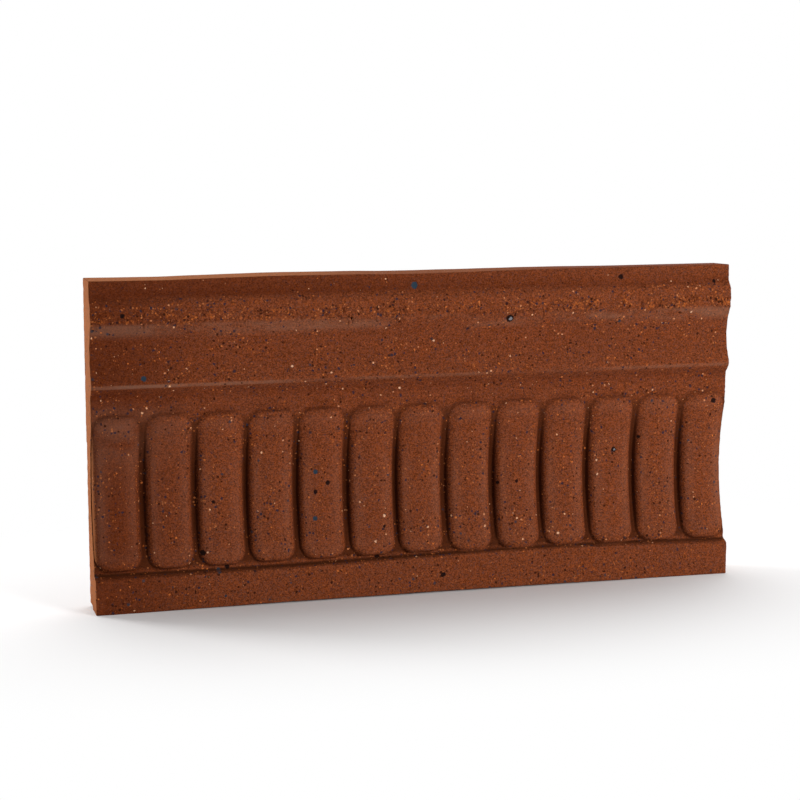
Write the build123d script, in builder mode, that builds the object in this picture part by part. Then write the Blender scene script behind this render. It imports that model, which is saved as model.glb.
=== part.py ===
"""Moulded wall brick: one fired clay piece with fillets, coves and a row of lobes on its face.

Frame, in millimetres: X runs along the brick, Y from the face to the back, and Z up from the bed it
stands on. The origin is the middle of that bed, and the face looks towards -Y.
"""

from build123d import *

import os
from math import radians, tan

# Overall length, and the number of lobes that fill it from end to end
brick_length = 305.0
lobe_count = 13

# Heights of the bands of the face, from the bed up
base_fillet_height = 14.8
ledge_height = 5.7
cove_height = 63.0
frieze_height = 14.5
arris_height = 6.5
upper_cove_height = 25.0
torus_height = 10.5
top_fillet_height = 10.0

# Thickness of the brick at each band, from its back to its face
base_fillet_depth = 22.0
ledge_depth = 18.0
cove_depth = 11.4
frieze_depth = 16.8
arris_depth = 20.7
top_fillet_depth = 18.4

# How far the upper cove lies behind the arris, and how far the torus stands in front of it
upper_cove_hollow = 3.5
torus_lead = 0.3
torus_crown = 0.5

# Rise of each sloped step between two bands
base_step_rise = 2.2
arris_underside_rise = 4.0
torus_step_rise = 1.6

# One lobe: a raised bead that follows the hollow of the cove
lobe_gap = 2.6
lobe_projection_below = 3.8
lobe_projection_middle = 4.6
lobe_projection_above = 3.2
lobe_crown = 0.6
lobe_draft_angle = 25.0
lobe_overrun_below = 1.0
lobe_overrun_above = 4.5
lobe_corner_radius_below = 6.0
lobe_corner_radius_above = 4.6
lobe_shoulder_radius = 2.6
lobe_end_radius_below = 4.0
lobe_end_radius_above = 4.0
lobe_seat = 3.0

# Rounding of the worn clay edges
moulding_edge_radius = 1.0
bed_edge_radius = 0.8
rear_bed_edge_radius = 2.5
end_edge_radius = 0.6

# Levels of the band boundaries above the bed
ledge_level = base_fillet_height
cove_level = ledge_level + ledge_height
frieze_level = cove_level + cove_height
arris_level = frieze_level + frieze_height
upper_cove_level = arris_level + arris_height
torus_level = upper_cove_level + upper_cove_height
top_fillet_level = torus_level + torus_height
brick_height = top_fillet_level + top_fillet_height

# The upper moulding is set out from its arris
upper_cove_depth = arris_depth - upper_cove_hollow
torus_edge_depth = arris_depth + torus_lead
torus_crown_depth = torus_edge_depth + torus_crown

# The origin lies midway between the back and the face of the base fillet, the foremost band
brick_depth = base_fillet_depth
back_y = brick_depth / 2

# The lobes share the length evenly, and each runs a little past the cove below and above
lobe_pitch = brick_length / lobe_count
lobe_width = lobe_pitch - lobe_gap
lobe_bottom = cove_level - lobe_overrun_below
lobe_top = frieze_level + lobe_overrun_above
lobe_middle = (lobe_bottom + lobe_top) / 2


def section_point(depth, level):
    """Return the point of the section at a depth from the back and a level above the bed."""
    return (back_y - depth, level)


def nearest_vertex(sketch, point):
    """Return the vertex of a sketch that lies nearest to a point."""
    return sketch.vertices().sort_by_distance(Vector(*point))[0]


# Crest of a lobe: the arc along which its middle stands furthest out of the cove
lobe_foot = section_point(ledge_depth + lobe_projection_below, lobe_bottom)
lobe_head = section_point(frieze_depth + lobe_projection_above, lobe_top)
with BuildLine() as crest_line:
    crest = ThreePointArc(
        lobe_foot,
        section_point(cove_depth + lobe_projection_middle, lobe_middle),
        lobe_head,
    )
crest_axis_y = crest.arc_center.X
crest_axis_z = crest.arc_center.Y
crest_y = crest_axis_y + crest.radius

# Half widths of the lobe's cross-section: at its shoulder, and at its root inside the brick
lobe_root_y = crest_y + lobe_projection_middle + lobe_seat
lobe_shoulder = lobe_width / 2 - lobe_projection_middle * tan(radians(lobe_draft_angle))
lobe_root = lobe_width / 2 + lobe_seat * tan(radians(lobe_draft_angle))

# One lobe: a crowned and drafted cross-section turned about the axis of the crest, cut to the side
# view with its rounded ends and then to the front view with its rounded corners
with BuildPart() as lobe:
    with BuildSketch(Plane.XY.offset(crest_axis_z)) as cross_section:
        with BuildLine():
            ThreePointArc(
                (-lobe_shoulder, crest_y + lobe_crown),
                (0, crest_y),
                (lobe_shoulder, crest_y + lobe_crown),
            )
            Polyline(
                (lobe_shoulder, crest_y + lobe_crown),
                (lobe_root, lobe_root_y),
                (-lobe_root, lobe_root_y),
                (-lobe_shoulder, crest_y + lobe_crown),
            )
        make_face()
        fillet(cross_section.vertices().group_by(Axis.Y)[0], radius=lobe_shoulder_radius)
    revolve(axis=Axis((0, crest_axis_y, crest_axis_z), (1, 0, 0)))
    with BuildSketch(Plane.YZ) as side_view:
        with BuildLine():
            add(crest)
            Polyline(
                lobe_head,
                section_point(cove_depth - lobe_seat, lobe_top),
                section_point(cove_depth - lobe_seat, lobe_bottom),
                lobe_foot,
            )
        make_face()
        fillet(nearest_vertex(side_view, lobe_foot), radius=lobe_end_radius_below)
        fillet(nearest_vertex(side_view, lobe_head), radius=lobe_end_radius_above)
    extrude(amount=lobe_width, both=True, mode=Mode.INTERSECT)
    with BuildSketch(Plane.XZ.offset(cove_depth - lobe_seat - back_y)) as front_view:
        with Locations((0, lobe_middle)):
            Rectangle(lobe_width, lobe_top - lobe_bottom)
        fillet(front_view.vertices().group_by(Axis.Y)[0], radius=lobe_corner_radius_below)
        fillet(front_view.vertices().group_by(Axis.Y)[-1], radius=lobe_corner_radius_above)
    extrude(amount=brick_depth, mode=Mode.INTERSECT)

# The brick: its section run out to both ends, its end edges eased, and the lobes set in the cove
with BuildPart() as wall_brick:
    with BuildSketch(Plane.YZ) as section:
        with BuildLine():
            Polyline(
                section_point(0, 0),
                section_point(base_fillet_depth, 0),
                section_point(base_fillet_depth, ledge_level),
                section_point(ledge_depth, ledge_level + base_step_rise),
                section_point(ledge_depth, cove_level),
            )
            ThreePointArc(
                section_point(ledge_depth, cove_level),
                section_point(cove_depth, cove_level + cove_height / 2),
                section_point(frieze_depth, frieze_level),
            )
            Polyline(
                section_point(frieze_depth, frieze_level),
                section_point(frieze_depth, arris_level),
                section_point(arris_depth, arris_level + arris_underside_rise),
                section_point(arris_depth, upper_cove_level),
            )
            ThreePointArc(
                section_point(arris_depth, upper_cove_level),
                section_point(upper_cove_depth, upper_cove_level + upper_cove_height / 2),
                section_point(torus_edge_depth, torus_level),
            )
            ThreePointArc(
                section_point(torus_edge_depth, torus_level),
                section_point(torus_crown_depth, torus_level + torus_height / 2),
                section_point(torus_edge_depth, top_fillet_level),
            )
            Polyline(
                section_point(torus_edge_depth, top_fillet_level),
                section_point(top_fillet_depth, top_fillet_level + torus_step_rise),
                section_point(top_fillet_depth, brick_height),
                section_point(0, brick_height),
                section_point(0, 0),
            )
        make_face()
        for depth, level in (
            (base_fillet_depth, ledge_level),
            (arris_depth, arris_level + arris_underside_rise),
            (torus_edge_depth, torus_level),
            (torus_edge_depth, top_fillet_level),
        ):
            fillet(nearest_vertex(section, section_point(depth, level)), radius=moulding_edge_radius)
        for depth, level in ((base_fillet_depth, 0), (top_fillet_depth, brick_height), (0, brick_height)):
            fillet(nearest_vertex(section, section_point(depth, level)), radius=bed_edge_radius)
        fillet(nearest_vertex(section, section_point(0, 0)), radius=rear_bed_edge_radius)
    extrude(amount=brick_length / 2, both=True)
    fillet(wall_brick.faces().filter_by(Axis.X).edges(), radius=end_edge_radius)
    with GridLocations(lobe_pitch, 0, lobe_count, 1):
        add(lobe.part)

wall_brick.part.label = "wall_brick"
os.makedirs("parts", exist_ok=True)
export_step(wall_brick.part, "parts/wall_brick.step")
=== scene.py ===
"""Looks of a moulded wall brick: one piece of red-brown fired clay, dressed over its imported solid.

Everything is worked out in millimetres in the brick's own frame (X along it, Y from face to back, Z up
from the bed it stands on) and goes into the meshes in metres.
"""

import logging
import math
from dataclasses import dataclass, field
from enum import Enum
from typing import Any, Callable, Union

import bpy
import numpy as np
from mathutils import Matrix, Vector


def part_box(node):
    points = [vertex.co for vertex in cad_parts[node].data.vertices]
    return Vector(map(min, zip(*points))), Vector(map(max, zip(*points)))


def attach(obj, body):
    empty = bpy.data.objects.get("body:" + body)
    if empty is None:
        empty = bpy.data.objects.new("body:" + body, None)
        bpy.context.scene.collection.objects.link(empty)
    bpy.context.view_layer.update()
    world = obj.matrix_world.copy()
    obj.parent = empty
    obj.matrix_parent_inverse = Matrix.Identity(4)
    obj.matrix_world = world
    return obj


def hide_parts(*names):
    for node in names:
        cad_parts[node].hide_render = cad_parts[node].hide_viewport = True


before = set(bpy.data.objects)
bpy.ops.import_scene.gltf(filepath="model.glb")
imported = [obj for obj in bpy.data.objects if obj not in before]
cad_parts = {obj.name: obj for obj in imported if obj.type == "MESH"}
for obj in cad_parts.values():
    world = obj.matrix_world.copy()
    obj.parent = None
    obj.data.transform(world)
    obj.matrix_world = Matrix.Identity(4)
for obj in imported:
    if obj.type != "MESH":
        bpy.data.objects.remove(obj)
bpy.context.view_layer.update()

log = logging.getLogger("wall_brick")

MM = 0.001
PICTURE_SIDE = 800
WHITE = (1.0, 1.0, 1.0, 1.0)

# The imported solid's length, depth and height, in millimetres
box_low, box_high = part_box("wall_brick")
LENGTH, DEPTH, HEIGHT = (round((high - low) / MM, 2) for low, high in zip(box_low, box_high))
HALF_LENGTH = LENGTH / 2

# A place in metres, a colour with 0 to 255 a channel, and the start and end of a ramp
Triple = tuple[float, float, float]
Rgb = Triple
Span = tuple[float, float]


# Small helpers for numbers and colours


def linear(red: float, green: float, blue: float) -> tuple[float, float, float, float]:
    """Turn a colour as a paint chart gives it (0 to 255 a channel) into the light values a shader takes.

    Args:
        red: Red, 0 to 255.
        green: Green, 0 to 255.
        blue: Blue, 0 to 255.

    Returns:
        The colour by the sRGB curve, ((c + 0.055) / 1.055) to the power 2.4, with full opacity.
    """
    parts = [channel / 255 for channel in (red, green, blue)]
    curve = [c / 12.92 if c <= 0.04045 else ((c + 0.055) / 1.055) ** 2.4 for c in parts]
    return (curve[0], curve[1], curve[2], 1.0)


def smooth_step(value: np.ndarray, start: float, end: float) -> np.ndarray:
    """Rise from 0 at start to 1 at end along 3 t squared minus 2 t cubed."""
    t = np.clip((value - start) / (end - start), 0.0, 1.0)
    return t * t * (3 - 2 * t)


def bell(value: np.ndarray, middle: float | np.ndarray, reach: float) -> np.ndarray:
    """Give exp(-((value - middle) / reach) squared): 1 at the middle, fading out to both sides."""
    return np.exp(-(((value - middle) / reach) ** 2))


def graded(low: float, high: float, count: int, crowd: np.ndarray, reach: float, gain: float) -> np.ndarray:
    """Spread stations from low to high so that they stand closer together near the crowded places.

    The density is 1 plus gain times the sum of exp(-((t - place) / reach) squared), and the stations cut
    its running total into equal shares.

    Args:
        low: First station.
        high: Last station.
        count: How many stations there are.
        crowd: Places near which the stations stand closer.
        reach: How far the crowding reaches to each side.
        gain: How much closer they stand there.

    Returns:
        The stations, from low to high.
    """
    t = np.linspace(low, high, 6000)
    density = 1 + gain * bell(t[:, None], crowd[None, :], reach).sum(axis=1)
    total = np.concatenate([[0.0], np.cumsum((density[1:] + density[:-1]) / 2)])
    return np.interp(np.linspace(0, total[-1], count), total, t)


def from_end(x: np.ndarray) -> np.ndarray:
    """Give the distance of each place from the nearer end of the brick."""
    return HALF_LENGTH - np.abs(x)


@dataclass(frozen=True)
class Ripple:
    """A smooth, uneven surface: plane waves of like length in scattered directions, added up."""

    wavelength: float
    seed: int
    waves: int = 14
    spread: float = 0.45

    def at(self, x: np.ndarray, z: np.ndarray) -> np.ndarray:
        """Give the height, about -1 to 1, at each point.

        The height is the sum of sin(k . p + phase) over the waves, divided by the square root of half
        their number and by 2.

        Args:
            x: First coordinate of each point, in millimetres.
            z: Second coordinate of each point, in millimetres.

        Returns:
            The heights, in an array of the points' shape.
        """
        chance = np.random.default_rng(self.seed)
        heading = chance.uniform(0, 2 * np.pi, self.waves)
        number = 2 * np.pi / (self.wavelength * (1 + self.spread * chance.uniform(-1, 1, self.waves)))
        phase = chance.uniform(0, 2 * np.pi, self.waves)
        total = np.zeros(np.broadcast(x, z).shape)
        for turn, k, start in zip(heading, number, phase):
            total += np.sin(k * (np.cos(turn) * x + np.sin(turn) * z) + start)
        return total / math.sqrt(self.waves / 2) / 2


def put(name: str, data: bpy.types.ID) -> bpy.types.Object:
    """Make an object of a mesh, lamp or camera and put it in the scene, at the origin."""
    made = bpy.data.objects.new(name, data)
    bpy.context.scene.collection.objects.link(made)
    return made


def look(made: bpy.types.Object, place: Triple, aim: Triple) -> None:
    """Move a lamp or a camera to its place and turn it to its aim."""
    made.location = place
    made.rotation_euler = (Vector(aim) - Vector(place)).to_track_quat("-Z", "Y").to_euler()


# The brick's form


@dataclass(frozen=True)
class Section:
    """The moulded section: how thick the brick is, from its back, at each level above the bed."""

    height: float = HEIGHT
    base_fillet_top: float = 16.2
    base_fillet: float = 22.0
    ledge_foot: float = 17.3
    ledge: float = 17.5
    cove_start: float = 17.9
    cove_foot: float = 19.0
    cove_bottom: float = 20.5
    cove_top: float = 83.5
    cove_hollow: float = 6.1
    frieze: float = 16.8
    arris_underside: float = 98.0
    arris_bottom: float = 101.8
    arris_top: float = 104.3
    arris: float = 20.6
    torus_bottom: float = 129.5
    torus_top: float = 139.3
    torus: float = 21.0
    torus_crown: float = 0.5
    upper_cove_hollow: float = 3.65
    top_fillet_foot: float = 142.3
    top_fillet: float = 18.4
    softness: float = 0.5

    def knots(self) -> np.ndarray:
        """List the straight bands as rows of level and thickness, from the bed up."""
        return np.array([
            (0.0, self.base_fillet),
            (self.base_fillet_top, self.base_fillet),
            (self.ledge_foot, self.ledge),
            (self.cove_foot, self.ledge),
            (self.cove_bottom, self.cove_start),
            (self.cove_top, self.frieze),
            (self.arris_underside, self.frieze),
            (self.arris_bottom, self.arris),
            (self.arris_top, self.arris),
            (self.torus_bottom, self.torus),
            (self.torus_top, self.torus),
            (self.top_fillet_foot, self.top_fillet),
            (self.height, self.top_fillet),
        ])

    def thickness(self, level: np.ndarray) -> np.ndarray:
        """Give the brick's thickness at each level, with its arrises softened by wear.

        Straight bands run between the knots. Each cove takes away its hollow times 4 u (1 - u), with u
        from 0 to 1 across it, and the torus adds its crown the same way. The whole is then averaged
        with a bell curve as wide as the softness.

        Args:
            level: Levels above the bed, in millimetres.

        Returns:
            The thicknesses, in millimetres.
        """
        fine = np.arange(-5.0, self.height + 5.0, 0.05)
        bands = self.knots()
        depth = np.interp(fine, bands[:, 0], bands[:, 1])
        for bottom, top, hollow in (
            (self.cove_bottom, self.cove_top, self.cove_hollow),
            (self.arris_top, self.torus_bottom, self.upper_cove_hollow),
            (self.torus_bottom, self.torus_top, -self.torus_crown),
        ):
            u = np.clip((fine - bottom) / (top - bottom), 0, 1)
            depth = depth - hollow * 4 * u * (1 - u)
        reach = np.arange(-3 * self.softness, 3 * self.softness + 0.01, 0.05)
        weight = bell(reach, 0.0, self.softness * math.sqrt(2))
        padded = np.pad(depth, len(weight) // 2, mode="edge")
        smooth = np.convolve(padded, weight / weight.sum(), mode="valid")
        return np.interp(level, fine, smooth[: len(fine)])

    def ledge_shade(self, level: np.ndarray) -> np.ndarray:
        """Give how much painted shade lies on the step above the base band and in its corner."""
        step = smooth_step(level, self.base_fillet_top - 0.1, self.base_fillet_top + 0.3) * 0.45
        corner = smooth_step(level, self.ledge_foot - 0.5, self.ledge_foot) * 0.9
        above = smooth_step(level, self.ledge_foot + 0.2, self.ledge_foot + 1.0)
        return (step + corner) * (1 - above)


@dataclass(frozen=True)
class LobeRow:
    """The row of raised lobes that follow the hollow of the cove."""

    length: float = LENGTH
    count: int = 13
    gap: float = 1.9
    spread: float = 1.004
    bottom: float = 18.2
    top: float = 88.8
    tilt: float = -1.1
    corner_below: float = 7.0
    corner_above: float = 6.6
    foot: float = 21.9
    middle: float = 16.0
    head: float = 20.0
    crown: float = 1.6
    shoulder: float = 3.3
    head_shoulder: float = 4.2
    roundness: float = 0.56
    unevenness: float = 0.22
    seed: int = 7

    @property
    def pitch(self) -> float:
        """Distance from one lobe to the next."""
        return self.length / self.count

    def edges(self) -> np.ndarray:
        """Places along the brick where a lobe begins or ends."""
        starts = (np.arange(self.count) - self.count / 2) * self.pitch
        return np.concatenate([starts + self.gap / 2, starts + self.pitch - self.gap / 2])

    def crest(self, level: np.ndarray) -> np.ndarray:
        """Thickness along the middle of a lobe: a shallow arc through its foot, middle and head."""
        u = (level - self.bottom) / (self.top - self.bottom)
        chord = self.foot + (self.head - self.foot) * u
        hollow = (self.foot + self.head) / 2 - self.middle
        return chord - hollow * 4 * u * (1 - u)

    def inset(self, x: np.ndarray, z: np.ndarray) -> tuple[np.ndarray, np.ndarray]:
        """Measure how far each point lies inside the rounded outline of its lobe.

        Args:
            x: Places along the brick.
            z: Levels above the bed.

        Returns:
            The distance to the outline, below 0 outside it, and the way from the lobe's middle over half
            its width.
        """
        chance = np.random.default_rng(self.seed)
        shift = chance.uniform(-1, 1, (4, self.count)) * self.unevenness
        number = np.clip(np.floor(x / self.pitch + self.count / 2), 0, self.count - 1).astype(int)
        middle = (number - (self.count - 1) / 2) * self.pitch * self.spread + shift[0][number]
        lean = self.tilt * x / self.length
        low = self.bottom + lean + shift[1][number]
        high = self.top + lean * 0.5 + shift[2][number]
        u = x - middle
        v = z - (low + high) / 2
        radius = np.where(v < 0, self.corner_below, self.corner_above)
        half = (self.pitch - self.gap) / 2 + shift[3][number] / 2
        side = np.abs(u) - (half - radius)
        end = np.abs(v) - ((high - low) / 2 - radius)
        corner = np.hypot(np.maximum(side, 0), np.maximum(end, 0))
        return radius - corner - np.minimum(np.maximum(side, end), 0), u / half

    def raise_from(self, x: np.ndarray, z: np.ndarray, ground: np.ndarray) -> np.ndarray:
        """Raise the lobes out of the moulded face.

        With t the distance to the outline over the shoulder's width, from 0 to 1, the lobe's share of the
        way from the ground to its crest is (1 - (1 - t) squared) to the power of the roundness, and the
        crest falls away to the sides by the crown times the square of the way from the middle. The
        shoulder grows wider towards the lobe's head.

        Args:
            x: Places along the brick.
            z: Levels above the bed.
            ground: Thickness of the brick there without its lobes.

        Returns:
            The thickness with the lobes.
        """
        inside, aside = self.inset(x, z)
        widening = smooth_step(z, self.top - 16, self.top - 3)
        shoulder = self.shoulder + (self.head_shoulder - self.shoulder) * widening
        t = np.clip(inside / shoulder, 0, 1)
        share = (1 - (1 - t) ** 2) ** self.roundness
        crest = self.crest(z) - self.crown * aside**2
        return ground + np.maximum(crest - ground, 0) * share

    def crevice_shade(self, x: np.ndarray, z: np.ndarray) -> np.ndarray:
        """Give how much painted shade lies at each point: all in the gutters, less and less up the
        shoulders.

        Args:
            x: Places along the brick.
            z: Levels above the bed.

        Returns:
            The share of painted shade, 0 to 1.
        """
        inside, _ = self.inset(x, z)
        row = smooth_step(z, self.bottom, self.bottom + 2.5) * (1 - smooth_step(z, self.top - 5, self.top))
        # A thin ring of painted shade round the lobes' heads
        head = smooth_step(z, self.top - 9, self.top - 5) * bell(inside, -0.2, 0.9) * 0.3
        return np.maximum(row * (1 - smooth_step(inside, -0.1, 1.3)), head)


class Tone(Enum):
    """Colours of the single stones and spots that stand out in the face."""

    BLACK = (14, 10, 10)
    TEAL = (34, 54, 66)
    GREY = (120, 118, 122)
    PALE = (210, 164, 130)


@dataclass(frozen=True)
class Spot:
    """One larger stone, iron spot or chip in the face.

    Attributes:
        about: What it is and where.
        x: Place of its middle along the brick.
        z: Level of its middle.
        radius: Its radius.
        tone: Its colour.
        pit: Radius and depth of the pit that it lies in, if any.
    """

    about: str
    x: float
    z: float
    radius: float
    tone: Tone
    pit: Span | None = None


SPOTS = (
    Spot("iron stone under the top edge", -3.8, 144.0, 1.7, Tone.TEAL, (1.6, 0.3)),
    Spot("pit in the upper cove", 41.8, 127.6, 1.9, Tone.BLACK, (1.6, 0.7)),
    Spot("stone in that pit", 42.3, 127.4, 0.9, Tone.GREY),
    Spot("iron spot near the top right", 97.0, 145.4, 1.3, Tone.BLACK, (1.2, 0.3)),
    Spot("iron spot at the right end of the top band", 144.3, 142.1, 1.0, Tone.BLACK),
    Spot("iron spot at the left end of the torus", -138.2, 134.2, 1.2, Tone.BLACK),
    Spot("oblong stone above the arris", -129.0, 105.8, 1.3, Tone.TEAL),
    Spot("stone at the foot of the third gutter", -103.3, 25.2, 1.35, Tone.BLACK, (1.6, 0.5)),
    Spot("chip beside it", -101.2, 25.4, 0.5, Tone.PALE),
    Spot("left of two stones on the ledge", -96.4, 16.8, 1.1, Tone.TEAL),
    Spot("right of two stones on the ledge", -92.2, 18.2, 1.2, Tone.BLACK),
    Spot("stone on the third lobe", -97.8, 47.9, 0.9, Tone.BLACK),
    Spot("upper stone on the fifth lobe", -50.3, 59.2, 1.2, Tone.TEAL),
    Spot("right stone on the fifth lobe", -44.5, 53.9, 1.2, Tone.BLACK),
    Spot("middle stone on the fifth lobe", -50.4, 50.0, 1.1, Tone.BLACK),
    Spot("lower stone on the fifth lobe", -50.9, 37.8, 1.2, Tone.TEAL),
    Spot("pale chip on the sixth lobe", -17.9, 37.3, 0.72, Tone.PALE),
    Spot("pale chip at that lobe's foot", -22.9, 25.9, 0.65, Tone.PALE),
    Spot("stone between these two", -18.3, 32.4, 0.8, Tone.BLACK),
    Spot("stone on the ledge, middle", -21.9, 18.6, 1.3, Tone.BLACK),
    Spot("stone on the base band", 9.1, 8.7, 1.2, Tone.BLACK),
    Spot("left stone on the ninth lobe", 38.0, 49.5, 0.9, Tone.BLACK),
    Spot("right stone on the ninth lobe", 46.9, 50.0, 0.9, Tone.BLACK),
    Spot("pit on the eleventh lobe", 95.6, 62.8, 1.4, Tone.BLACK, (1.4, 0.4)),
    Spot("stone in that pit", 95.9, 62.6, 0.6, Tone.GREY),
    Spot("pale chip left of that pit", 87.2, 58.0, 0.58, Tone.PALE),
    Spot("pale chip below it", 87.5, 51.2, 0.58, Tone.PALE),
    Spot("pale chip at the foot of the tenth lobe", 66.5, 24.6, 0.65, Tone.PALE),
    Spot("stone on the twelfth lobe", 108.6, 68.2, 0.9, Tone.BLACK),
    Spot("stone at the right end of the lobes", 145.2, 84.8, 1.3, Tone.BLACK),
    Spot("pale chip above the arris, left", -61.4, 108.8, 0.58, Tone.PALE),
    Spot("pale chip above the arris, middle", 5.7, 118.1, 0.58, Tone.PALE),
    Spot("pale chip in the frieze", -10.4, 96.7, 0.58, Tone.PALE),
    Spot("pale chip in the upper cove, right", 132.5, 127.9, 0.58, Tone.PALE),
)


@dataclass(frozen=True)
class Wear:
    """What drying, firing and handling did to the form: bowed edges, uneven bands, grit and chips."""

    bed_bow: float = 0.75
    bed_ripple: float = 0.1
    top_wave: float = 0.3
    top_wave_length: float = 128.0
    top_wave_crest: float = -62.0
    top_back_drop: float = 0.8
    arris_bow: float = 0.5
    ledge_rise: float = 1.35
    ledge_crest: float = 48.0
    ledge_reach: float = 62.0
    ledge_drop: float = 0.7
    ledge_level_at: float = 17.0
    face_ripple: float = 0.16
    small_ripple: float = 0.07
    torus_grit: float = 0.34
    arris_grit: float = 0.14
    end_roughness: float = 0.18
    spots: tuple[Spot, ...] = SPOTS

    def face(self, x: np.ndarray, z: np.ndarray, form: Section) -> np.ndarray:
        """Give what is added to the thickness of the brick at each point of its face.

        Long and short ripples run over the whole face. Grit is a short ripple, sharpened by its third
        power, and stands on the torus and the arris. The ends are roughened, and a pit takes its depth
        times exp(-(r / radius) squared).

        Args:
            x: Places along the brick.
            z: Levels above the bed.
            form: The section, for the levels of its bands.

        Returns:
            The added thickness, in millimetres.
        """
        total = self.face_ripple * Ripple(46, 3).at(x, z)
        total += self.small_ripple * Ripple(9, 4, waves=22).at(x, z)
        torus = smooth_step(z, form.torus_bottom - 5, form.torus_bottom + 1)
        torus = torus * (1 - 0.75 * smooth_step(z, form.torus_bottom + 4.5, form.torus_bottom + 7.5))
        torus = torus * (1 - smooth_step(z, form.torus_top - 1, form.top_fillet_foot + 0.5))
        grit = Ripple(2.1, 5, waves=40).at(x, z)
        patch = 0.6 + 0.4 * Ripple(17, 6).at(x, z)
        total += self.torus_grit * torus * patch * (grit + 0.8 * grit**3)
        arris = bell(z, form.arris_bottom + 1, 1.6)
        total += self.arris_grit * arris * Ripple(3.1, 8, waves=30).at(x, z)
        ends = np.exp(-from_end(x) / 1.1)
        total -= self.end_roughness * ends * (0.6 + Ripple(2.0, 9, waves=30).at(x, z))
        for spot in self.spots:
            if spot.pit:
                radius, depth = spot.pit
                total -= depth * bell(x, spot.x, radius) * bell(z, spot.z, radius)
        return total

    def ledge_level(self, x: np.ndarray, z: np.ndarray) -> np.ndarray:
        """Give the levels at which the section is looked up, so that the ledge runs unevenly.

        The ledge rises along a bell curve about its crest, and drops near the right end and a little
        left of the middle. The shift fades out above and below along another bell curve.

        Args:
            x: Places along the brick.
            z: Levels above the bed.

        Returns:
            The levels of the section, in millimetres.
        """
        rise = self.ledge_rise * bell(x, self.ledge_crest, self.ledge_reach)
        drop = self.ledge_drop * smooth_step(x, 105, 150) + 0.3 * bell(x, -85, 40)
        return z - (rise - drop) * bell(z, self.ledge_level_at, 5)

    def level(self, x: np.ndarray, y_share: np.ndarray, z: np.ndarray, form: Section) -> np.ndarray:
        """Give how far each point moves up or down.

        The bed bows up along 1 minus the square of x over half the length, to the power 1.5. The top
        dips along a cosine, but not at its right end, where its back edge drops. Both fade out towards
        the middle of the brick, and the arris bows up along a bell curve of its own.

        Args:
            x: Places along the brick.
            y_share: 0 on the face to 1 on the back.
            z: Levels above the bed.
            form: The section, for its height and arris.

        Returns:
            The rise of each point, in millimetres.
        """
        u = z / form.height
        way = x / HALF_LENGTH
        bed = self.bed_bow * np.clip(1 - way**2, 0, 1) ** 1.5
        bed = bed + self.bed_ripple * Ripple(60, 12).at(x, 0 * x) * (1 - way**8)
        wave = np.cos(2 * np.pi * (x - self.top_wave_crest) / self.top_wave_length)
        dip = self.top_wave * (wave - 1) + 0.1 * Ripple(30, 13).at(x, 0 * x)
        dip = dip * (1 - smooth_step(x, 40, 120))
        drop = self.top_back_drop * smooth_step(x, -20, 130) * y_share
        middle = self.arris_bow * (1 - way**2) * bell(z, form.arris_top, 18)
        return bed * (1 - u) ** 1.5 + (dip - drop) * smooth_step(z, 118, form.height) + middle


# Meshes


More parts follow.
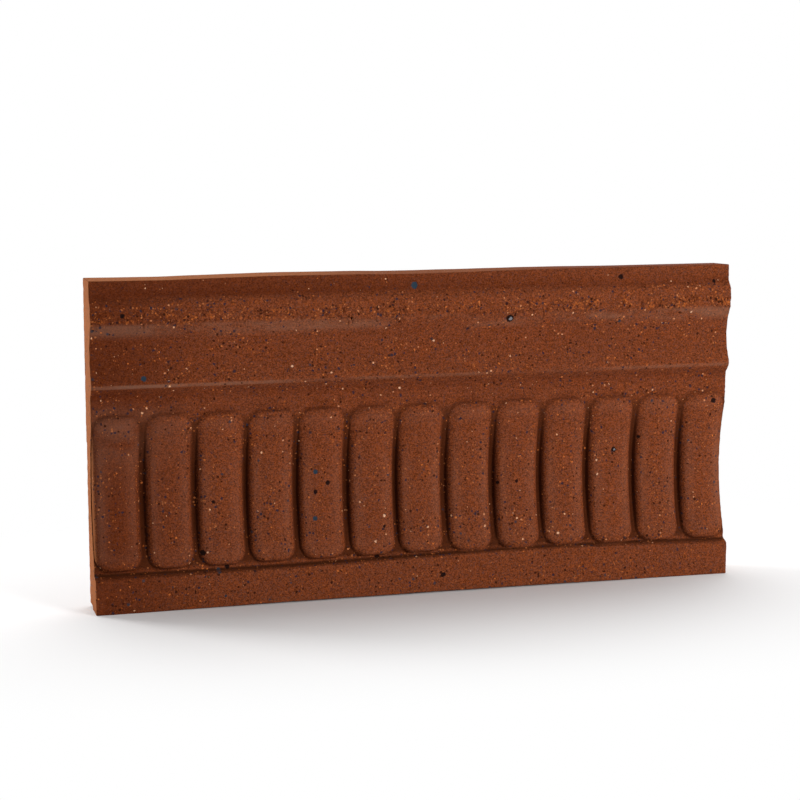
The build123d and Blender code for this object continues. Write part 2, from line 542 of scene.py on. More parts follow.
@dataclass
class Shell:
    """Faces gathered patch by patch, whose shared points are merged when it becomes a mesh."""

    points: list[np.ndarray] = field(default_factory=list)
    quads: list[np.ndarray] = field(default_factory=list)
    triangles: list[np.ndarray] = field(default_factory=list)
    count: int = 0

    def add_points(self, points: np.ndarray) -> np.ndarray:
        """Keep an array of points, any shape by 3, and return their numbers in the same shape."""
        flat = points.reshape(-1, 3)
        numbers = np.arange(self.count, self.count + len(flat)).reshape(points.shape[:-1])
        self.points.append(flat)
        self.count += len(flat)
        return numbers

    def add_grid(self, points: np.ndarray, flip: bool = False) -> np.ndarray:
        """Cover a grid of points, rows by columns by 3, with four-sided faces.

        Args:
            points: The grid. Its faces look along (next row - row) x (next column - column).
            flip: Turn the faces to look the other way.

        Returns:
            The numbers of the grid's points.
        """
        n = self.add_points(points)
        corners = [n[:-1, :-1], n[1:, :-1], n[1:, 1:], n[:-1, 1:]]
        if flip:
            corners.reverse()
        self.quads.append(np.stack(corners, axis=-1).reshape(-1, 4))
        return n

    def add_ring(self, outer: np.ndarray, inner: np.ndarray) -> None:
        """Join two closed rings of as many points each with four-sided faces."""
        self.quads.append(np.stack([outer, np.roll(outer, -1), np.roll(inner, -1), inner], axis=-1))

    def add_zip(
        self, outer: np.ndarray, t_outer: np.ndarray, inner: np.ndarray, t_inner: np.ndarray
    ) -> None:
        """Join two closed rings with different numbers of points by a band of triangles.

        Each ring's points have a place t on the way round, and t ends where it began. Every edge gets a
        triangle to the point of the other ring that has been reached by the middle of that edge.

        Args:
            outer: Numbers of the outer ring's points, first repeated last.
            t_outer: Their places on the way round, rising.
            inner: Numbers of the inner ring's points, first repeated last.
            t_inner: Their places on the way round, rising.
        """
        outer_mid = (t_outer[1:] + t_outer[:-1]) / 2
        inner_mid = (t_inner[1:] + t_inner[:-1]) / 2
        reached_inner = inner[np.searchsorted(inner_mid, outer_mid, side="left")]
        reached_outer = outer[np.searchsorted(outer_mid, inner_mid, side="right")]
        self.triangles.append(np.stack([outer[:-1], outer[1:], reached_inner], axis=-1))
        self.triangles.append(np.stack([inner[1:], inner[:-1], reached_outer], axis=-1))

    def to_mesh(self, name: str, place: Callable[[np.ndarray], np.ndarray]) -> bpy.types.Mesh:
        """Merge the points that coincide, put each in its place and write the mesh.

        Args:
            name: The mesh's name.
            place: Turns the points of the plain block into the finished form, in millimetres.

        Returns:
            The mesh, smooth, in metres.
        """
        points = np.concatenate(self.points)
        keys, first, merged = np.unique(
            np.round(points * 10000).astype(np.int64), axis=0, return_index=True, return_inverse=True
        )
        merged = merged.reshape(-1)
        quads = merged[np.concatenate(self.quads)]
        triangles = merged[np.concatenate(self.triangles)]
        final = place(points[first]) * MM
        mesh = bpy.data.meshes.new(name)
        mesh.vertices.add(len(keys))
        mesh.vertices.foreach_set("co", final.astype(np.float32).ravel())
        mesh.loops.add(quads.size + triangles.size)
        corners = np.concatenate([quads.ravel(), triangles.ravel()])
        mesh.loops.foreach_set("vertex_index", corners.astype(np.int32))
        starts = np.concatenate([np.arange(len(quads)) * 4, quads.size + np.arange(len(triangles)) * 3])
        mesh.polygons.add(len(starts))
        mesh.polygons.foreach_set("loop_start", starts.astype(np.int32))
        mesh.polygons.foreach_set("use_smooth", np.ones(len(starts), dtype=bool))
        mesh.update(calc_edges=True)
        mesh.validate()
        return mesh


# Shader building


class Operation(Enum):
    """Arithmetic of a Math node."""

    ADD = "ADD"
    SUBTRACT = "SUBTRACT"
    MULTIPLY = "MULTIPLY"
    DIVIDE = "DIVIDE"
    POWER = "POWER"
    MINIMUM = "MINIMUM"
    MAXIMUM = "MAXIMUM"
    ABSOLUTE = "ABSOLUTE"


Value = Union["Wire", float]


@dataclass(frozen=True)
class Wire:
    """One output of a shader node, on which plain arithmetic can be written."""

    graph: "Graph"
    socket: bpy.types.NodeSocket

    def _work(self, operation: Operation, first: Value, second: Value = 0.0) -> "Wire":
        """Add a Math node for one operation on two values."""
        return self.graph.node(
            "ShaderNodeMath", {"operation": operation.value}, {0: first, 1: second}
        )["Value"]

    def __add__(self, other: Value) -> "Wire":
        """Add."""
        return self._work(Operation.ADD, self, other)

    __radd__ = __add__

    def __sub__(self, other: Value) -> "Wire":
        """Take away."""
        return self._work(Operation.SUBTRACT, self, other)

    def __rsub__(self, other: Value) -> "Wire":
        """Take this from a number."""
        return self._work(Operation.SUBTRACT, other, self)

    def __mul__(self, other: Value) -> "Wire":
        """Multiply."""
        return self._work(Operation.MULTIPLY, self, other)

    __rmul__ = __mul__

    def __truediv__(self, other: Value) -> "Wire":
        """Divide."""
        return self._work(Operation.DIVIDE, self, other)

    def __rtruediv__(self, other: Value) -> "Wire":
        """Divide a number by this."""
        return self._work(Operation.DIVIDE, other, self)

    def __pow__(self, other: Value) -> "Wire":
        """Raise to a power."""
        return self._work(Operation.POWER, self, other)

    def __abs__(self) -> "Wire":
        """Drop the sign."""
        return self._work(Operation.ABSOLUTE, self)

    def lowest(self, other: Value) -> "Wire":
        """The smaller of two values."""
        return self._work(Operation.MINIMUM, self, other)

    def highest(self, other: Value) -> "Wire":
        """The larger of two values."""
        return self._work(Operation.MAXIMUM, self, other)

    def clamped(self) -> "Wire":
        """Keep the value between 0 and 1."""
        return self.lowest(1.0).highest(0.0)

    def ramp(self, start: float, end: float) -> "Wire":
        """Rise smoothly from 0 at start to 1 at end, or fall if end is the smaller."""
        settings = {"interpolation_type": "SMOOTHSTEP"}
        low, high, out_low, out_high = (start, end, 0.0, 1.0) if start < end else (end, start, 1.0, 0.0)
        inputs = {"Value": self, "From Min": low, "From Max": high, "To Min": out_low, "To Max": out_high}
        return self.graph.node("ShaderNodeMapRange", settings, inputs)["Result"]


class Graph:
    """The node tree of a material or of the world."""

    def __init__(self, tree: bpy.types.NodeTree) -> None:
        """Start from an empty tree."""
        self.tree = tree
        tree.nodes.clear()

    def node(
        self, kind: str, settings: dict[str, Any] | None = None, inputs: dict[Any, Any] | None = None
    ) -> dict[str, Wire]:
        """Add one node.

        Args:
            kind: The node's type.
            settings: Its properties, which are set first.
            inputs: Values or wires for its sockets, by name or number.

        Returns:
            The outputs in use, by name.
        """
        made = self.tree.nodes.new(kind)
        for key, value in (settings or {}).items():
            setattr(made, key, value)
        for key, value in (inputs or {}).items():
            socket = made.inputs[key] if isinstance(key, int) else self._socket(made, key)
            if isinstance(value, Wire):
                self.tree.links.new(value.socket, socket)
            else:
                socket.default_value = value
        return {socket.name: Wire(self, socket) for socket in made.outputs if socket.enabled}

    @staticmethod
    def _socket(made: bpy.types.Node, name: str) -> bpy.types.NodeSocket:
        """Find an input that is in use, by its name."""
        return [s for s in made.inputs if s.name == name and s.enabled][0]

    def paint(self, factor: Value, under: "Wire | Rgb", over: "Wire | Rgb") -> Wire:
        """Lay one colour over another by a factor from 0 to 1."""
        settings = {"data_type": "RGBA", "clamp_factor": True}
        colours = [c if isinstance(c, Wire) else linear(*c) for c in (under, over)]
        inputs = {"Factor": factor, "A": colours[0], "B": colours[1]}
        return self.node("ShaderNodeMix", settings, inputs)["Result"]

    def noise(self, place: Wire, size: float, detail: float = 2.0, roughness: float = 0.5) -> Wire:
        """Uneven values from 0 to 1 in lumps of about a size in millimetres."""
        inputs = {"Vector": place, "Scale": 1 / size, "Detail": detail, "Roughness": roughness}
        return self.node("ShaderNodeTexNoise", {"noise_dimensions": "3D"}, inputs)["Fac"]

    def grains(self, place: Wire, size: float) -> tuple[Wire, Wire, Wire]:
        """One grain to each cell of a size in millimetres: the way to it over the size, and two chances."""
        inputs = {"Vector": place, "Scale": 1 / size, "Randomness": 1.0}
        settings = {"voronoi_dimensions": "3D", "feature": "F1"}
        cells = self.node("ShaderNodeTexVoronoi", settings, inputs)
        chance = self.node("ShaderNodeSeparateColor", {}, {"Color": cells["Color"]})
        return cells["Distance"], chance["Red"], chance["Green"]

    def vector(self, operation: str, inputs: dict[Any, Any], output: str = "Vector") -> Wire:
        """Add a Vector Math node."""
        return self.node("ShaderNodeVectorMath", {"operation": operation}, inputs)[output]

    def shifted(self, place: Wire, x: float, y: float, z: float) -> Wire:
        """Move a pattern by a distance in millimetres."""
        return self.vector("ADD", {0: place, 1: (x, y, z)})

    def stretched(self, place: Wire, x: float, y: float, z: float) -> Wire:
        """Scale a position along each axis by its own factor."""
        return self.vector("MULTIPLY", {0: place, 1: (x, y, z)})

    def scaled(self, vector: Wire, scale: Value) -> Wire:
        """Multiply a position or a colour by a value, which may be above 1."""
        return self.vector("SCALE", {0: vector, "Scale": scale})


@dataclass(frozen=True)
class Site:
    """What the shader knows of a point: where it lies, how it faces and how uneven the clay is there."""

    graph: Graph
    place: Wire
    x: Wire
    z: Wire
    facing: dict[str, Wire]
    end_face: Wire
    front: Wire
    cloud: Wire
    patch: Wire
    sand: Wire
    fine: Wire

    @classmethod
    def of(cls, g: Graph) -> "Site":
        """Work these values out on the brick's own coordinates, in millimetres."""
        place = g.scaled(g.node("ShaderNodeTexCoord")["Object"], 1 / MM)
        parts = g.node("ShaderNodeSeparateXYZ", {}, {0: place})
        facing = g.node("ShaderNodeSeparateXYZ", {}, {0: g.node("ShaderNodeNewGeometry")["True Normal"]})
        at_end = abs(parts["X"]).ramp(HALF_LENGTH - 2.0, HALF_LENGTH - 0.7)
        return cls(
            graph=g,
            place=place,
            x=parts["X"],
            z=parts["Z"],
            facing=facing,
            end_face=abs(facing["X"]).ramp(0.6, 0.9) * at_end,
            front=facing["Y"].ramp(-0.2, -0.5),
            cloud=g.noise(place, 24, 3.0, 0.55),
            patch=g.noise(g.shifted(place, 71, 13, 5), 5.0, 3.0, 0.65),
            sand=g.noise(g.shifted(place, 11, 3, 57), 0.8, 3.0, 0.7),
            fine=g.noise(g.shifted(place, 5, 31, 17), 0.4, 2.0, 0.6),
        )

    def worn(self, name: str) -> Wire:
        """Read one of the mesh's attributes, relief or painted shade, without the cut ends."""
        return self.graph.node("ShaderNodeAttribute", {"attribute_name": name})["Fac"] * (1 - self.end_face)


@dataclass(frozen=True)
class Specks:
    """One kind of grain scattered through the clay and cut by its surface.

    Attributes:
        cell: Width of the cells of the pattern, each of which holds one grain, in millimetres.
        radius: Radius of the largest grains.
        share: Share of the cells whose grain shows.
        soft: Width of a grain's soft edge.
        shift: How far the pattern is moved, so that no two kinds coincide.
        strength: How fully a grain covers the clay.
        tints: The two colours between which each grain's own lies.
        turn: Where the random value goes over from the first colour to the second, if not evenly.
        more_if_rough: Added share of cells on the rough band.
        more_if_crowded: Added share of cells where the grains crowd.
        stronger_if_rough: Added strength on the rough band.
    """

    cell: float
    radius: float
    share: float
    soft: float
    shift: float
    strength: float
    tints: tuple[Rgb, Rgb]
    turn: Span | None = None
    more_if_rough: float = 0.0
    more_if_crowded: float = 0.0
    stronger_if_rough: float = 0.0

    def lay(self, g: Graph, place: Wire, colour: Wire, rough: Wire, crowd: Wire) -> tuple[Wire, Wire]:
        """Lay the grains over the clay.

        Each cell of a Voronoi pattern holds one grain. Its radius is the largest one times how far its
        random value lies above 1 - share, over share, to the power 1.5, so that small grains are many
        and large ones few. The mask is (radius - distance) / soft, kept in 0 to 1.

        Args:
            g: The material's graph.
            place: Position in millimetres.
            colour: The clay's colour so far.
            rough: The mask of the rough band.
            crowd: Where the grains crowd, below 0 where they are rare.

        Returns:
            The colour with the grains, and their mask.
        """
        moved = g.shifted(place, self.shift, self.shift * 0.7, self.shift * 1.3)
        away, chance, shade = g.grains(moved, self.cell)
        more = rough * self.more_if_rough + crowd * self.more_if_crowded
        size = ((chance - (1 - self.share) + more) / self.share).clamped() ** 1.5 * self.radius
        mask = ((size - away * self.cell) / self.soft).clamped()
        tint = shade.ramp(*self.turn) if self.turn else shade
        over = g.paint(tint, *self.tints)
        return g.paint(mask * (rough * self.stronger_if_rough + self.strength), colour, over), mask


@dataclass(frozen=True)
class FiredClay:
    """Unglazed red-brown fired clay with sand, iron spots and pale grog in it.

    A span is the two places, in millimetres, between which a mask rises, or falls if the first is the
    higher.
    """

    name: str = "fired_clay"
    body: Rgb = (108, 54, 29)
    warm: Rgb = (119, 54, 17)
    dull: Rgb = (102, 53, 32)
    # Colour of the painted shade on the left end, the top band and in the hollows
    painted_shade: Rgb = (64, 20, 2)
    # Colour of the painted shade in the gutters and in the corner of the ledge
    crevice_shade_colour: Rgb = (52, 24, 9)
    # Colour of the painted shade in the low spots of the torn band
    torn: Rgb = (58, 20, 4)
    raw: Rgb = (176, 92, 36)
    # Colour of the painted highlight on the raised fronts of the lobes
    raised_highlight: Rgb = (136, 92, 74)
    # Lighter colour of the cut faces, which also paints a highlight on the ends and the top
    cut: Rgb = (160, 98, 58)
    # Colour of the painted sheen: highlight and floor reflection streaks
    painted_sheen: Rgb = (132, 98, 80)
    slate: Rgb = (92, 62, 54)
    roughness: float = 0.9
    shine: float = 0.03
    bump_strength: float = 0.9
    crevice_shade_strength: float = 0.62
    pit_shade_strength: float = 0.7
    raw_strength: float = 0.6
    cut_and_light_strength: float = 0.7
    stone_strength: float = 0.93
    stone_edge: float = 0.25
    # Levels over which the top band takes its painted shade
    top_band_shade: Span = (140.5, 143.0)
    lobe_feet: Span = (18.5, 22.0)
    lobe_fronts: tuple[Span, Span] = ((20.0, 28.0), (88.0, 80.0))
    # Levels of the painted sheen: the arris highlight, the reflection under the torus and the sheen on the
    # upper left lobes
    arris: tuple[Span, Span] = ((101.1, 102.0), (103.6, 102.7))
    under_torus_sheen: tuple[Span, Span] = ((122.5, 127.0), (131.5, 129.0))
    lobe_sheen: tuple[Span, Span] = ((50.0, 84.0), (98.0, 90.0))
    torus: tuple[Span, Span] = ((129.0, 131.0), (137.0, 133.5))
    torus_step: Span = (142.5, 140.0)
    sparse_top: Span = (140.5, 142.5)
    sand_grain: float = 0.5
    grain_warp: float = 0.8
    ochre_dust: Specks = Specks(
        1.25, 0.5, 0.5, 0.14, 3.0, 0.6, ((152, 74, 26), (174, 104, 60)),
        more_if_rough=0.3, more_if_crowded=0.3, stronger_if_rough=0.15,
    )
    iron_specks: Specks = Specks(
        1.5, 0.7, 0.46, 0.14, 41.0, 0.84, ((38, 14, 4), (26, 32, 46)), turn=(0.4, 0.6),
        more_if_rough=0.15, more_if_crowded=0.25,
    )
    blue_stones: Specks = Specks(
        3.4, 0.9, 0.36, 0.4, 83.0, 0.8, ((12, 12, 16), (38, 52, 62)), more_if_crowded=0.15,
    )
    pale_grog: Specks = Specks(
        2.0, 0.56, 0.4, 0.16, 127.0, 0.9, ((178, 96, 44), (216, 162, 122)), turn=(0.4, 0.95),
        more_if_rough=0.1, more_if_crowded=0.2,
    )
    spots: tuple[Spot, ...] = SPOTS

    def material(self) -> bpy.types.Material:
        """Build the clay's material on the brick's own coordinates.

        Returns:
            The material, for the whole brick.
        """
        made = bpy.data.materials.new(self.name)
        made.use_nodes = True
        g = Graph(made.node_tree)
        at = Site.of(g)
        colour = self._shaded(at, self._sandy_body(at))
        colour = self._cut_faces(at, colour)
        rough_band = self._rough_band(at)
        colour = self._sheen_streaks(at, colour)
        # Painted shade in the gutters between the lobes and in the corner of the ledge
        colour = g.paint(at.worn("crevice_shade") * self.crevice_shade_strength, colour, self.crevice_shade_colour)
        tear = g.noise(g.shifted(at.place, 19, 2, 77), 1.5, 3.0, 0.7)
        # Painted shade in the low spots of the torn band, where the bump sinks
        colour = g.paint(rough_band * tear.ramp(0.5, 0.36) * self.pit_shade_strength, colour, self.torn)
        colour = g.paint(rough_band * tear.ramp(0.55, 0.65) * self.raw_strength, colour, self.raw)

        place = self._warped(at)
        crowd = g.noise(g.shifted(place, 53, 8, 21), 15, 2.0, 0.6).ramp(0.3, 0.7) - 0.5
        crowd = crowd - at.z.ramp(*self.sparse_top) * 0.5
        colour, dust = self.ochre_dust.lay(g, place, colour, rough_band, crowd)
        colour, iron = self.iron_specks.lay(g, place, colour, rough_band, crowd)
        colour, blue = self.blue_stones.lay(g, place, colour, rough_band, crowd)
        colour, pale = self.pale_grog.lay(g, place, colour, rough_band, crowd)
        pits = iron + blue
        for tone in Tone:
            colour, stones = self._stones(at, place, colour, tone)
            if tone in (Tone.BLACK, Tone.TEAL):
                pits = pits + stones * 2

        height = at.sand * 0.09 + at.fine * 0.05 + at.patch * 0.12 + dust * 0.05 * (1 + rough_band * 2)
        height = height + pale * 0.05 - pits * 0.06 + rough_band * tear * 0.9
        inputs = {"Height": height, "Strength": self.bump_strength, "Distance": MM}
        bump = g.node("ShaderNodeBump", {}, inputs)["Normal"]
        rough = (self.roughness + (at.sand - 0.5) * 0.12 - iron * 0.25).clamped()
        shader = g.node(
            "ShaderNodeBsdfPrincipled", {},
            {"Base Color": colour, "Roughness": rough, "Normal": bump, "Specular IOR Level": self.shine},
        )
        g.node("ShaderNodeOutputMaterial", {}, {"Surface": shader["BSDF"]})
        return made

    def _sandy_body(self, at: Site) -> Wire:
        """Give the fired body's own colour: dull and warm clouds, with a shade for each grain of sand."""
        g = at.graph
        _, light, warmth = g.grains(at.place, self.sand_grain)
        colour = g.paint((at.cloud * 1.2 - 0.1).clamped(), self.dull, self.body)
        warm = at.patch.ramp(0.45, 0.75) * 0.3 + warmth.ramp(0.6, 0.95) * 0.35
        colour = g.paint(warm, colour, self.warm)
        grain = (at.sand - 0.5) * 1.1 + (at.fine - 0.5) * 1.4 + (light - 0.5) * 0.85 + 1.0
        colour = g.scaled(colour, grain.highest(0.3).lowest(2.2))
        return g.paint(warmth.ramp(0.2, 0.05) * 0.45, colour, self.slate)

    def _shaded(self, at: Site, colour: Wire) -> Wire:
        """Paint shade on the left end, the top band and the hollows, and a highlight on the lobes' fronts.
        """
        g, x, z = at.graph, at.x, at.z
        # Painted shade: the left end darker, except its lit end face, and the top band darker, more to the
        # left
        left_end_shade = x.ramp(-90.0, -150.0) * 0.5 * (1 - at.facing["X"].ramp(-0.5, -0.9))
        top_band_shade = z.ramp(*self.top_band_shade) * (0.1 + x.ramp(150.0, -150.0) * 0.4)
        colour = g.paint(left_end_shade.highest(top_band_shade), colour, self.painted_shade)
        relief = at.worn("relief")
        # Painted shade in the hollows of the face, from the lobes' feet up
        colour = g.paint((relief * -0.7).clamped() * z.ramp(*self.lobe_feet), colour, self.painted_shade)
        # Painted highlight: the raised parts of the lobes' fronts paler and duller, in patches
        raised = ((relief - 0.1) * 1.6).clamped() * self._band(z, self.lobe_fronts)
        return g.paint(raised * at.cloud.ramp(0.0, 0.5) * 0.5, colour, self.raised_highlight)

    def _cut_faces(self, at: Site, colour: Wire) -> Wire:
        """Pale the cut, unmoulded ends, the left of the top and a little the back, partly as a painted
        highlight.
        """
        top_face = at.facing["Z"].ramp(0.75, 0.95) * at.z.ramp(146.0, 148.5) * at.x.ramp(95.0, 20.0)
        # Painted highlight: the top paler towards the left, where more light falls
        top_face = top_face * (0.4 + at.x.ramp(-10.0, -80.0) * 0.6)
        back_face = at.facing["Y"].ramp(0.4, 0.8) * 0.15
        cut_and_lit_face = at.end_face.highest(top_face).highest(back_face)
        return at.graph.paint(cut_and_lit_face * self.cut_and_light_strength, colour, self.cut)

    def _rough_band(self, at: Site) -> Wire:
        """Give where the torus was torn rough by the mould, most of all at its right end."""
        g = at.graph
        rise, fall = self.torus
        band = at.z.ramp(*rise) * (at.z.ramp(*fall) + at.z.ramp(*self.torus_step) * 0.3).clamped()
        torn = g.noise(g.shifted(at.place, 3, 40, 9), 9, 2.0, 0.6).ramp(0.35, 0.6)
        face = at.facing["Y"].ramp(0.3, -0.2) * (1 - at.end_face)
        return band * torn * (0.85 + at.x.ramp(60.0, 140.0) * 0.5) * face

    def _sheen_streaks(self, at: Site, colour: Wire) -> Wire:
        """Paint a pale sheen in streaks on the arris, under the torus and on the upper left lobes."""
        g, x, z = at.graph, at.x, at.z
        streak = g.noise(g.shifted(g.stretched(at.place, 0.28, 1.0, 1.0), 7, 7, 7), 9, 3.0, 0.55)
        # Painted highlight on the arris, painted reflection under the torus and painted sheen on the upper
        # left lobes
        arris = self._band(z, self.arris) * streak.ramp(0.3, 0.65) * (0.2 + x.ramp(-30.0, -100.0) * 0.22)
        under = self._band(z, self.under_torus_sheen) * streak.ramp(0.4, 0.65) * 0.3
        lobe_sheen = self._band(z, self.lobe_sheen) * x.ramp(-100.0, -138.0) * streak.ramp(0.25, 0.6) * 0.16
        mask = (arris.highest(under).highest(lobe_sheen) * at.front).clamped()
        return g.paint(mask, colour, self.painted_sheen)

    @staticmethod
    def _band(z: Wire, spans: tuple[Span, Span]) -> Wire:
        """Rise over the first span of levels and fall over the second."""
        rise, fall = spans
        return z.ramp(*rise) * z.ramp(*fall)

    def _warped(self, at: Site) -> Wire:
        """Shift each point by an uneven part of a millimetre, so that grains lose their round outline."""
        inputs = {"Vector": at.place, "Scale": 1 / 0.7, "Detail": 1.0}
        noise = at.graph.node("ShaderNodeTexNoise", {"noise_dimensions": "3D"}, inputs)["Color"]
        return at.graph.vector("MULTIPLY_ADD", {0: noise, 1: (self.grain_warp,) * 3, 2: at.place})

    def _stones(self, at: Site, place: Wire, colour: Wire, tone: Tone) -> tuple[Wire, Wire]:
        """Lay the single stones of one tone on the face.

        The mask is how far a point lies inside the nearest stone's radius, plus an uneven edge, over the
        edge's softness, kept in 0 to 1. The warp moves each point by half of itself on average, so the
        stones' middles are moved along.

        Args:
            at: The point that is coloured.
            place: Its warped position.
            colour: The clay's colour so far.
            tone: The stones' tone.

        Returns:
            The colour with these stones, and their mask.
        """
        g, moved = at.graph, self.grain_warp / 2
        flat = g.stretched(place, 1.0, 0.0, 1.0)
        inside: Value = -9.0
        for spot in self.spots:
            if spot.tone is tone:
                middle = (spot.x + moved, 0.0, spot.z + moved)
                away = g.vector("DISTANCE", {0: flat, 1: middle}, "Value")
                inside = (spot.radius - away).highest(inside)
        mask = ((inside + (at.fine - 0.5) * 0.8) / self.stone_edge).clamped() * at.front
        return g.paint(mask * self.stone_strength, colour, tone.value), mask


# The brick and its surroundings


@dataclass
class WallBrick:
    """The moulded wall brick, one piece of fired clay."""

    length: float = LENGTH
    depth: float = DEPTH
    edge_radius: float = 0.5
    rear_bed_radius: float = 2.5
    stations: int = 420
    levels: int = 178
    layers: int = 13
    dense_steps: tuple[float, ...] = (15.2, 17.4, 20.5, 24.0)
    dense_arris: tuple[float, ...] = (85.5, 88.5, 99.5, 102.5, 104.5)
    dense_torus: tuple[float, ...] = (131.0, 135.0, 139.0, 142.0)
    back_rings: tuple[float, ...] = (0.0, 0.8, 2.6)
    back_inset: float = 6.0
    back_columns: int = 49
    back_rows: int = 25
    relief_pace: float = 0.5
    relief_reach: float = 4.0
    relief_full: float = 2.2
    front_of: float = 2.0
    section: Section = field(default_factory=Section)
    lobes: LobeRow = field(default_factory=LobeRow)
    wear: Wear = field(default_factory=Wear)
    clay: FiredClay = field(default_factory=FiredClay)

    def build(self) -> bpy.types.Object:
        """Build the brick as one closed shell and dress it.

        The shell is a plain block of grids: the face and both ends have the same levels, the face, bed
        and top have the same stations, and the back narrows from these to a coarse grid.

        Returns:
            The brick's object, at the origin.
        """
        half, height = self.length / 2, self.section.height
        ends = np.array([-half, half])
        x = graded(-half, half, self.stations, np.concatenate([self.lobes.edges(), ends, ends]), 1.5, 2.6)
        dense = [0.0, 0.0, *self.dense_steps, *self.dense_arris, *self.dense_torus, height, height]
        z = graded(0, height, self.levels, np.array(dense), 1.5, 2.2)
        y = graded(0, self.depth, self.layers, np.array([0, 0, self.depth, self.depth]), 1.3, 3.0)
        shell = Shell()
        shell.add_grid(self._sheet(x, np.array([0.0]), z)[:, 0].transpose(1, 0, 2), flip=True)
        shell.add_grid(self._sheet(ends[:1], y, z)[0], flip=True)
        shell.add_grid(self._sheet(ends[1:], y, z)[0])
        shell.add_grid(self._sheet(x, y, np.array([0.0]))[:, :, 0], flip=True)
        shell.add_grid(self._sheet(x, y, np.array([height]))[:, :, 0])
        self._close_back(shell, x, z)
        mesh = shell.to_mesh("wall_brick_clay", self._place)
        self._mark_relief(mesh)
        made = put("wall_brick_clay", mesh)
        mesh.materials.append(self.clay.material())
        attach(made, "root")
        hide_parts("wall_brick")
        return made

    @staticmethod
    def _sheet(x: np.ndarray, y: np.ndarray, z: np.ndarray) -> np.ndarray:
        """Points of the plain block over three lists of coordinates, indexed by them in turn."""
        return np.stack(np.meshgrid(x, y, z, indexing="ij"), axis=-1)

    def _close_back(self, shell: Shell, x: np.ndarray, z: np.ndarray) -> None:
        """Close the back with a few fine rings that round its edges, then a coarse grid.

        Args:
            shell: The shell that gets the faces.
            x: Stations along the brick, shared with its bed and top.
            z: Levels, shared with its ends.
        """
        half, height = self.length / 2, self.section.height
        round_x = np.concatenate([x[:-1], np.full(len(z) - 1, half), x[:0:-1], np.full(len(z) - 1, -half)])
        round_z = np.concatenate([np.zeros(len(x) - 1), z[:-1], np.full(len(x) - 1, height), z[:0:-1]])
        way = np.concatenate([
            (x[:-1] + half) / self.length, 1 + z[:-1] / height,
            2 + (half - x[:0:-1]) / self.length, 3 + (height - z[:0:-1]) / height, [4.0],
        ])
        rings = []
        for inset in self.back_rings:
            ring_x = round_x * (1 - inset / half)
            ring_z = height / 2 + (round_z - height / 2) * (1 - inset / (height / 2))
            ring = np.stack([ring_x, np.full_like(ring_x, self.depth), ring_z], axis=-1)
            rings.append(shell.add_points(ring))
        for outer, inner in zip(rings, rings[1:]):
            shell.add_ring(outer[::-1], inner[::-1])
        u = np.linspace(-1, 1, self.back_columns)
        v = np.linspace(-1, 1, self.back_rows)
        grid_z = height / 2 + v * (height / 2 - self.back_inset)
        grid = self._sheet(u * (half - self.back_inset), np.array([self.depth]), grid_z)
        n = shell.add_grid(grid[:, 0], flip=True)
        border = np.concatenate([n[:-1, 0], n[-1, :-1], n[:0:-1, -1], n[0, :0:-1], n[:1, 0]])
        place = np.concatenate([
            (u[:-1] + 1) / 2, 1 + (v[:-1] + 1) / 2, 2 + (1 - u[:0:-1]) / 2, 3 + (1 - v[:0:-1]) / 2, [4.0],
        ])
        last = np.append(rings[-1], rings[-1][0])
        shell.add_zip(last[::-1], 4 - way[::-1], border[::-1], 4 - place[::-1])

    def _place(self, block: np.ndarray) -> np.ndarray:
        """Turn points of the plain block into the worn, moulded brick.

        Each point is first drawn onto rounded edges: it is pulled in by the radius, and pushed out again
        by the radius along the direction it was pulled from. The distance from the back is then scaled
        by the thickness at that place, and the edges are bowed.

        Args:
            block: Points of the block: x from the middle, y from the face (0) to the back, z from the bed.

        Returns:
            The points in the brick's frame, in millimetres.
        """
        half, height = self.length / 2, self.section.height
        rear_bed = (block[:, 1] > self.depth / 2) & (block[:, 2] < height / 2)
        radius = np.where(rear_bed, self.rear_bed_radius, self.edge_radius)[:, None]
        low = np.array([-half, 0.0, 0.0]) + radius
        high = np.array([half, self.depth, height]) - radius
        core = np.clip(block, low, high)
        away = block - core
        reach = np.linalg.norm(away, axis=1, keepdims=True)
        round_block = core + away / np.maximum(reach, 1e-9) * radius
        x, y, z = round_block.T
        ground = self.section.thickness(self.wear.ledge_level(x, z))
        thick = self.lobes.raise_from(x, z, ground)
        thick = thick + self.wear.face(x, z, self.section)
        share = y / self.depth
        top = self.depth / 2
        final_y = top - (1 - share) * thick
        final_x = x - np.sign(x) * self._end_chips(x, y, z)
        final_z = z + self.wear.level(x, share, z, self.section)
        final = np.stack([final_x, final_y, final_z], axis=-1)
        low = np.array([-half, -self.depth / 2, 0.0])
        high = np.array([half, self.depth / 2, height])
        return np.clip(final, low, high)

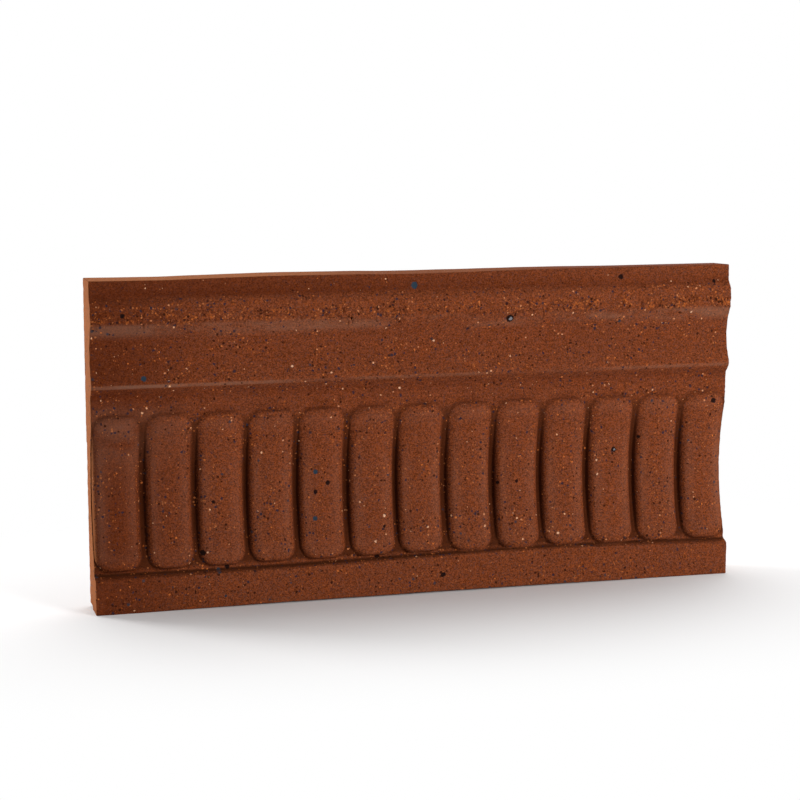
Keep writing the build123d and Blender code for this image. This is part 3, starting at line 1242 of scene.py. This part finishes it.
    def _mark_relief(self, mesh: bpy.types.Mesh) -> None:
        """Write two attributes of the face: relief, how far a point stands out or lies back, and painted
        shade.

        The thickness is worked out on an even grid and averaged there with a bell curve. A point's
        relief is its own thickness less that average, over the full relief, kept between -1 and 1. Its
        painted shade is that in the gutters or that on the ledge, whichever is more. The back has neither.

        Args:
            mesh: The brick's mesh, which gets both attributes.
        """
        half, height, pace = self.length / 2, self.section.height, self.relief_pace
        x = np.arange(-half, half + pace, pace)
        z = np.arange(0, height + pace, pace)
        level = np.broadcast_to(z[None, :], (len(x), len(z)))
        place = np.broadcast_to(x[:, None], level.shape)
        thick = self.lobes.raise_from(place, level, self.section.thickness(level))
        reach = np.arange(-3 * self.relief_reach, 3 * self.relief_reach + pace, pace)
        weight = bell(reach, 0.0, self.relief_reach * math.sqrt(2))
        weight = weight / weight.sum()
        mean = np.pad(thick, len(weight) // 2, mode="edge")
        for axis in (0, 1):
            mean = np.apply_along_axis(np.convolve, axis, mean, weight, "valid")
        relief = np.clip((thick - mean) / self.relief_full, -1, 1)
        points = np.empty(len(mesh.vertices) * 3, dtype=np.float32)
        mesh.vertices.foreach_get("co", points)
        at = points.reshape(-1, 3) / MM
        i = np.clip(np.round((at[:, 0] + half) / pace).astype(int), 0, len(x) - 1)
        k = np.clip(np.round(at[:, 2] / pace).astype(int), 0, len(z) - 1)
        gutters = self.lobes.crevice_shade(at[:, 0], at[:, 2])
        ledge = self.section.ledge_shade(self.wear.ledge_level(at[:, 0], at[:, 2]))
        in_front = at[:, 1] < self.front_of
        for name, values in (("relief", relief[i, k]), ("crevice_shade", np.maximum(gutters, ledge))):
            attribute = mesh.attributes.new(name, "FLOAT", "POINT")
            attribute.data.foreach_set("value", (values * in_front).astype(np.float32))

    @staticmethod
    def _end_chips(x: np.ndarray, y: np.ndarray, z: np.ndarray) -> np.ndarray:
        """How far the rough ends fall short of the full length: a short ripple that fades inwards."""
        ends = np.exp(-from_end(x) / 1.5)
        return ends * (0.06 + 0.08 * Ripple(5.0, 21, waves=24).at(y, z))


@dataclass(frozen=True)
class Lamp:
    """One soft lamp: where it hangs, where it points, its size and its power."""

    name: str
    place: Triple
    aim: Triple
    width: float
    height: float
    power: float

    def build(self) -> bpy.types.Object:
        """Hang the lamp and turn it to its aim."""
        data = bpy.data.lights.new(self.name, "AREA")
        data.shape = "RECTANGLE"
        data.size = self.width
        data.size_y = self.height
        data.energy = self.power
        made = put(self.name, data)
        look(made, self.place, self.aim)
        return made


@dataclass
class Studio:
    """The pale floor, the white surroundings and the soft lamps."""

    floor_side: float = 6.0
    floor_colour: Rgb = (236, 235, 235)
    floor_fade: Span = (0.035, 0.195)
    world_light: float = 0.13
    lamps: tuple[Lamp, ...] = (
        Lamp("front_right", (0.68, -1.0, 0.42), (0.0, 0.0, 0.07), 0.5, 0.5, 15.5),
        Lamp("back_top", (0.12, 0.6, 0.92), (0.0, 0.0, 0.0), 1.2, 1.4, 13.5),
        Lamp("left_rim", (-0.6, 0.45, 0.22), (-0.15, 0.0, 0.08), 0.25, 0.25, 4.6),
    )

    def build(self) -> None:
        """Lay the floor, light the world and hang the lamps."""
        self._floor()
        self._world()
        for lamp in self.lamps:
            lamp.build()

    def _floor(self) -> None:
        """Lay a flat sheet at the bed's level that catches the shadow and turns white further off."""
        side = self.floor_side / 2
        count = 9
        u = np.linspace(-side, side, count)
        grid = np.stack(np.meshgrid(u, u, indexing="ij"), axis=-1).reshape(-1, 2)
        points = np.column_stack([grid, np.zeros(len(grid))])
        n = np.arange(count * count).reshape(count, count)
        faces = np.stack([n[:-1, :-1], n[1:, :-1], n[1:, 1:], n[:-1, 1:]], axis=-1).reshape(-1, 4)
        mesh = bpy.data.meshes.new("floor")
        mesh.from_pydata(points.tolist(), [], faces.tolist())
        made = put("floor", mesh)
        mesh.materials.append(self._floor_material())

    def _floor_material(self) -> bpy.types.Material:
        """Pale matt card near the brick, plain white to the camera away from it."""
        made = bpy.data.materials.new("pale_floor")
        made.use_nodes = True
        g = Graph(made.node_tree)
        where = g.node("ShaderNodeTexCoord")["Object"]
        oval = g.stretched(where, 0.5, 1.0, 1.0)
        away = g.vector("LENGTH", {0: oval}, "Value")
        seen = self._seen(g)
        card = g.node("ShaderNodeBsdfDiffuse", {}, {"Color": linear(*self.floor_colour)})["BSDF"]
        white = g.node("ShaderNodeEmission", {}, {"Color": WHITE, "Strength": 1.0})["Emission"]
        faded = away.ramp(*self.floor_fade) * seen
        mixed = g.node("ShaderNodeMixShader", {}, {"Fac": faded, 1: card, 2: white})
        g.node("ShaderNodeOutputMaterial", {}, {"Surface": mixed["Shader"]})
        return made

    @staticmethod
    def _seen(g: Graph) -> Wire:
        """Give 1 for what the camera sees, also in a reflection or through glass, and 0 for light."""
        rays = g.node("ShaderNodeLightPath")
        return rays["Is Camera Ray"].highest(rays["Is Glossy Ray"]).highest(rays["Is Transmission Ray"])

    def _world(self) -> None:
        """White to the camera, and a dim even light to everything else."""
        world = bpy.data.worlds.new("white_surroundings")
        world.use_nodes = True
        bpy.context.scene.world = world
        g = Graph(world.node_tree)
        seen = self._seen(g)
        strength = seen + (1 - seen) * self.world_light
        light = g.node("ShaderNodeBackground", {}, {"Color": WHITE, "Strength": strength})
        g.node("ShaderNodeOutputWorld", {}, {"Surface": light["Background"]})


@dataclass(frozen=True)
class Viewpoint:
    """Where the camera stands: a little to the left of the brick and above it."""

    place: Triple = (-0.2718, -0.9425, 0.2361)
    aim: Triple = (0.002427, 0.011, 0.093645)
    focal_pixels: float = 2134.82
    middle_pixels: tuple[float, float] = (416.44, 388.27)
    sensor: float = 36.0

    def build(self) -> bpy.types.Object:
        """Set up the camera.

        Returns:
            The camera, which is also the scene's.
        """
        data = bpy.data.cameras.new("camera")
        data.sensor_width = self.sensor
        data.lens = self.focal_pixels / PICTURE_SIDE * self.sensor
        data.shift_x = (PICTURE_SIDE / 2 - self.middle_pixels[0]) / PICTURE_SIDE
        data.shift_y = (self.middle_pixels[1] - PICTURE_SIDE / 2) / PICTURE_SIDE
        made = put("camera", data)
        look(made, self.place, self.aim)
        bpy.context.scene.camera = made
        return made


def main() -> None:
    """Set up the camera and the studio, then build and dress the brick."""
    logging.basicConfig(level=logging.INFO, format="%(message)s")
    bpy.context.scene.view_settings.view_transform = "Standard"
    Viewpoint().build()
    Studio().build()
    brick = WallBrick().build()
    brick.data.calc_loop_triangles()
    log.info("%s: %d triangles", brick.name, len(brick.data.loop_triangles))


if __name__ == "__main__":
    main()
